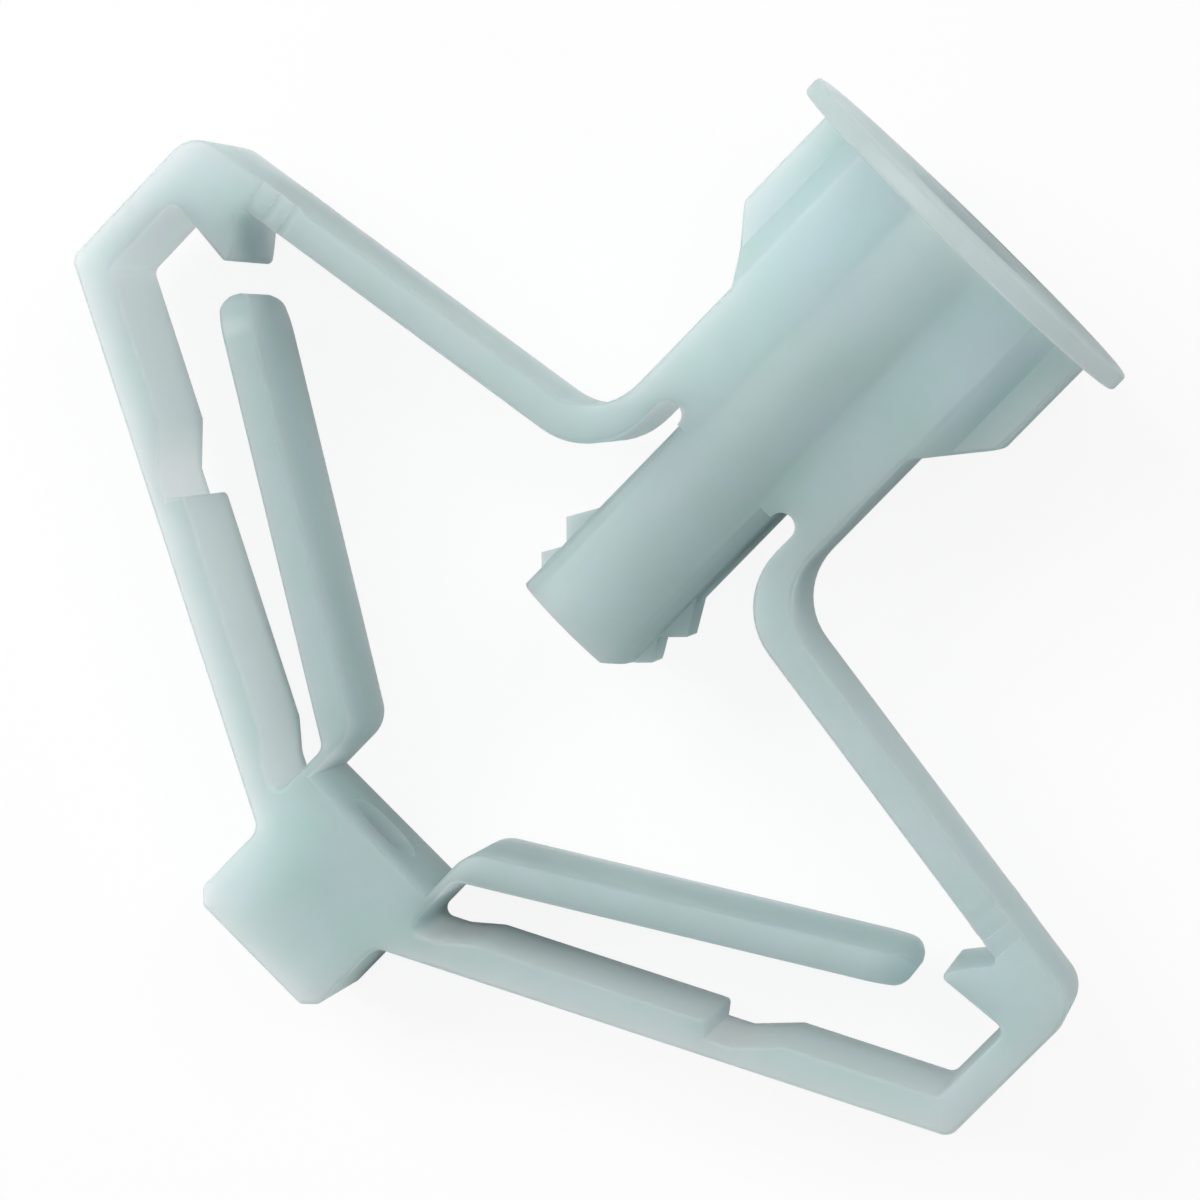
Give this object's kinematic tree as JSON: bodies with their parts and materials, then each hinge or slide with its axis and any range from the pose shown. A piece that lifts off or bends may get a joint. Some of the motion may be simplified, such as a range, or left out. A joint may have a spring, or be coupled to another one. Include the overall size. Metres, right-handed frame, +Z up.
{
  "type": "winged plasterboard anchor",
  "caption": "One-piece plastic cavity-wall anchor: thin round flange, finned collar, screw sleeve, folding strap wings with inner fingers, and an end block that takes the screw.",
  "frame": {"origin": "under the middle of the part's box, on the surface it lies on", "axes": "+X towards the end block, along the screw axis seen from above; +Y out along one wing; +Z up from the surface"},
  "size_m": [0.0306, 0.036, 0.0124],
  "materials": {
    "plastic": "satin moulded plastic, slightly milky, pale grey-green-blue"
  },
  "bodies": {
    "root": {"anchor_moulding": "plastic"}
  },
  "joints": []
}
